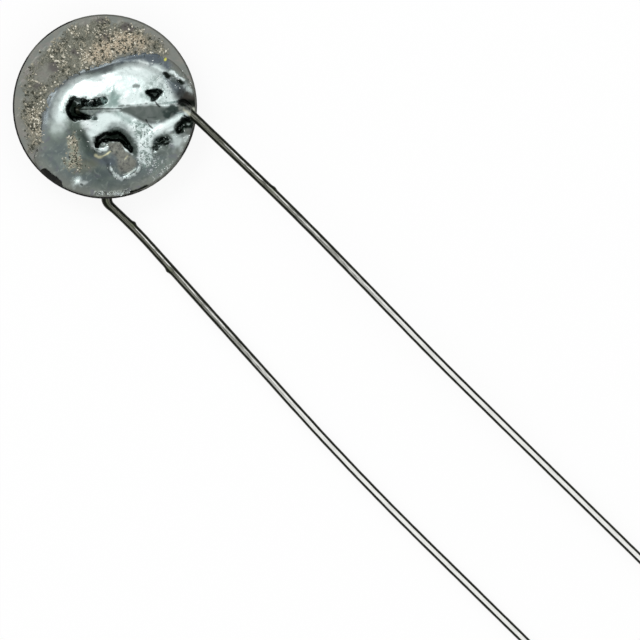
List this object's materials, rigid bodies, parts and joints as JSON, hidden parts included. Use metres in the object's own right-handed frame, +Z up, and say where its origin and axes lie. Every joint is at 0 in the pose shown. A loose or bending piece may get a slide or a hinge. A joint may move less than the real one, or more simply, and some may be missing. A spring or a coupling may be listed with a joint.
{
  "type": "bare disc ntc thermistor",
  "caption": "Bare round ceramic disc with a metal coat and a lumpy solder joint on each face, and a tinned wire lead running out from each joint.",
  "frame": {"origin": "middle of the floor under the whole part, as it lies on its rear solder joint and its lead tips", "axes": "+Z up out of the front face, +Y from the lead tips towards the disc, +X towards the front lead"},
  "size_m": [0.0107, 0.0494, 0.0032],
  "materials": {
    "ceramic": "matt, dark sintered oxide",
    "metal_coat": "satin fired silver",
    "solder": "bright, lumpy, frosted in places",
    "tinned_wire": "satin tin with fine draw lines"
  },
  "bodies": {
    "root": {"ceramic_disc": "ceramic", "front_electrode": "metal_coat", "rear_electrode": "metal_coat", "front_solder": "solder", "rear_solder": "solder", "front_lead": "tinned_wire", "rear_lead": "tinned_wire"}
  },
  "joints": []
}
